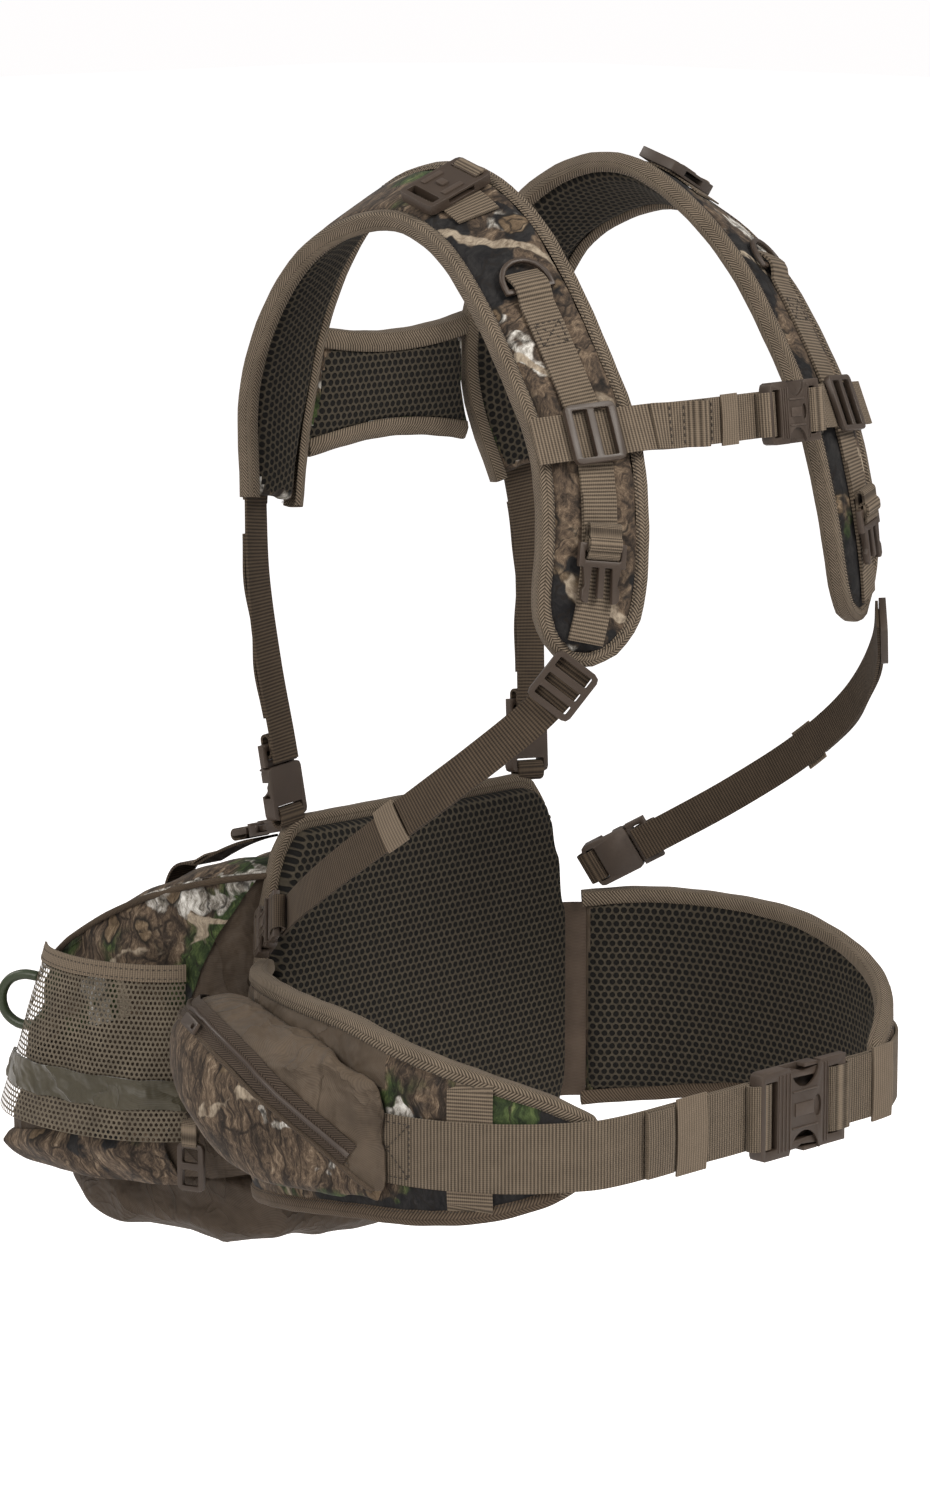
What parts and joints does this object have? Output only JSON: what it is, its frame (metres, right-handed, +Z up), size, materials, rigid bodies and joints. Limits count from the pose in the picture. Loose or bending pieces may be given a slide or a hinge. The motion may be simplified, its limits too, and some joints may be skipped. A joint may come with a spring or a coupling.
{
  "type": "lumbar pack with shoulder harness",
  "caption": "Lumbar pack on a padded hip belt with a padded shoulder harness, sternum strap, release buckles, belt pockets and mesh side pockets.",
  "frame": {"origin": "middle of the lumbar pad's face against the wearer, near the height of the hip belt", "axes": "+Z up; -Y towards the front of the wearer, who is inside the belt and harness; +X towards the wearer's left"},
  "size_m": [0.4474, 0.4747, 0.6448],
  "materials": {
    "camo": "brushed camouflage cloth over foam",
    "webbing": "ribbed taupe webbing",
    "strap": "ribbed dark brown webbing",
    "plastic": "moulded dark brown",
    "nylon": "coated brown nylon",
    "mesh": "open hexagon mesh",
    "spacer_mesh": "dark air mesh over foam",
    "olive_cord": "smooth covered tube"
  },
  "bodies": {
    "pack": {"shoulder_pad_right": "camo", "shoulder_pad_left": "camo", "shoulder_lining_right": "spacer_mesh", "shoulder_lining_left": "spacer_mesh", "shoulder_webbing_right": "webbing", "shoulder_webbing_left": "webbing", "hip_wing_right": "camo", "hip_wing_left": "camo", "yoke": "camo", "bag_lid": "camo", "lumbar_mesh": "spacer_mesh", "lumbar_foam": "nylon", "bag_body": "nylon", "base_pouch": "nylon", "belt_strap_right": "webbing", "belt_strap_left": "webbing", "side_strap_right": "strap", "side_strap_left": "strap", "rear_strap_right": "strap", "rear_strap_left": "strap", "lid_strap_right": "strap", "lid_strap_left": "strap", "hip_pocket_right": "nylon", "hip_pocket_left": "nylon", "mesh_pocket_right": "mesh", "mesh_pocket_left": "mesh", "side_right_socket": "plastic", "side_left_socket": "plastic", "rear_right_socket": "plastic", "rear_left_socket": "plastic", "lid_right_socket": "plastic", "lid_left_socket": "plastic", "belt_socket": "plastic"},
    "sternum_strap": {"chest_slider_right": "plastic", "chest_slider_left": "plastic", "sternum_strap_right": "webbing", "sternum_strap_left": "webbing", "sternum_socket": "plastic"},
    "sternum_insert": {"sternum_insert": "plastic"},
    "belt_insert": {"belt_insert": "plastic"},
    "side_right_insert": {"side_right_insert": "plastic"},
    "side_left_insert": {"side_left_insert": "plastic"},
    "rear_right_insert": {"rear_right_insert": "plastic"},
    "rear_left_insert": {"rear_left_insert": "plastic"},
    "lid_right_insert": {"lid_right_insert": "plastic"},
    "lid_left_insert": {"lid_left_insert": "plastic"},
    "d_ring_right": {"d_ring_right": "plastic"},
    "d_ring_left": {"d_ring_left": "plastic"},
    "holder_buckle_right": {"holder_buckle_right": "plastic"},
    "holder_buckle_left": {"holder_buckle_left": "plastic"},
    "clip_insert_right": {"clip_insert_right": "plastic"},
    "clip_insert_left": {"clip_insert_left": "plastic"},
    "ladder_lock_right": {"ladder_lock_right": "plastic"},
    "ladder_lock_left": {"ladder_lock_left": "plastic"},
    "hanging_slider_right": {"hanging_slider_right": "plastic"},
    "hanging_slider_left": {"hanging_slider_left": "plastic"},
    "zip_pull_right": {"zip_pull_right": "plastic"},
    "zip_pull_left": {"zip_pull_left": "plastic"},
    "rear_zip_loop": {"rear_zip_loop": "olive_cord"}
  },
  "joints": [
    {"name": "sternum_height", "type": "slide", "parent": "pack", "child": "sternum_strap", "axis": [0, 0.381, 0.9246], "range_m": [-0.012, 0.012]},
    {"name": "sternum_release", "type": "slide", "parent": "sternum_strap", "child": "sternum_insert", "axis": [1, 0, 0], "range_m": [0, 0.024]},
    {"name": "belt_release", "type": "slide", "parent": "pack", "child": "belt_insert", "axis": [1, 0, 0], "range_m": [0, 0.036]},
    {"name": "side_right_release", "type": "slide", "parent": "pack", "child": "side_right_insert", "axis": [-0.418, -0.765, 0.49], "range_m": [0, 0.022]},
    {"name": "side_left_release", "type": "slide", "parent": "pack", "child": "side_left_insert", "axis": [0.418, -0.765, 0.49], "range_m": [0, 0.022]},
    {"name": "rear_right_release", "type": "slide", "parent": "pack", "child": "rear_right_insert", "axis": [-0.083, 0.122, 0.9891], "range_m": [0, 0.022]},
    {"name": "rear_left_release", "type": "slide", "parent": "pack", "child": "rear_left_insert", "axis": [0.083, 0.122, 0.9891], "range_m": [0, 0.022]},
    {"name": "lid_right_release", "type": "slide", "parent": "pack", "child": "lid_right_insert", "axis": [0, 0.9667, -0.2559], "range_m": [0, 0.022]},
    {"name": "lid_left_release", "type": "slide", "parent": "pack", "child": "lid_left_insert", "axis": [0, 0.9667, -0.2559], "range_m": [0, 0.022]},
    {"name": "ring_lift_right", "type": "hinge", "parent": "pack", "child": "d_ring_right", "pos_m": [-0.0974, -0.1757, 0.4738], "axis": [0.944, -0.287, 0.163], "range_deg": [0, 90]},
    {"name": "ring_lift_left", "type": "hinge", "parent": "pack", "child": "d_ring_left", "pos_m": [0.0974, -0.1757, 0.4738], "axis": [0.944, 0.287, -0.163], "range_deg": [0, 90]},
    {"name": "holder_lift_right", "type": "hinge", "parent": "pack", "child": "holder_buckle_right", "pos_m": [-0.0707, -0.1091, 0.5302], "axis": [0.032, 0.9556, 0.2929], "range_deg": [0, 70]},
    {"name": "holder_lift_left", "type": "hinge", "parent": "pack", "child": "holder_buckle_left", "pos_m": [0.0707, -0.1091, 0.5302], "axis": [0.032, -0.9556, -0.2929], "range_deg": [0, 70]},
    {"name": "clip_lift_right", "type": "hinge", "parent": "pack", "child": "clip_insert_right", "pos_m": [-0.1068, -0.2385, 0.3424], "axis": [-0.9304, 0.3442, 0.1261], "range_deg": [0, 80]},
    {"name": "clip_lift_left", "type": "hinge", "parent": "pack", "child": "clip_insert_left", "pos_m": [0.1068, -0.2385, 0.3424], "axis": [-0.9304, -0.3442, -0.1261], "range_deg": [0, 80]},
    {"name": "lock_tilt_right", "type": "hinge", "parent": "pack", "child": "ladder_lock_right", "pos_m": [-0.1237, -0.2375, 0.2812], "axis": [-0.5638, 0.5538, 0.6128], "range_deg": [0, 35]},
    {"name": "lock_tilt_left", "type": "hinge", "parent": "pack", "child": "ladder_lock_left", "pos_m": [0.1237, -0.2375, 0.2812], "axis": [-0.5638, -0.5538, -0.6128], "range_deg": [0, 35]},
    {"name": "slider_swing_right", "type": "hinge", "parent": "pack", "child": "hanging_slider_right", "pos_m": [-0.1566, 0.0354, -0.0255], "axis": [-0.33, 0.944, 0], "range_deg": [0, 60]},
    {"name": "slider_swing_left", "type": "hinge", "parent": "pack", "child": "hanging_slider_left", "pos_m": [0.1566, 0.0354, -0.0255], "axis": [-0.33, -0.944, 0], "range_deg": [0, 60]},
    {"name": "zip_right", "type": "slide", "parent": "pack", "child": "zip_pull_right", "axis": [-0.4032, -0.9074, -0.119], "range_m": [0, 0.025]},
    {"name": "zip_left", "type": "slide", "parent": "pack", "child": "zip_pull_left", "axis": [0.4032, -0.9074, -0.119], "range_m": [0, 0.025]},
    {"name": "zip_loop_swing", "type": "hinge", "parent": "pack", "child": "rear_zip_loop", "pos_m": [-0.152, 0.174, 0.036], "axis": [0, 0, 1], "range_deg": [-20, 12]}
  ]
}
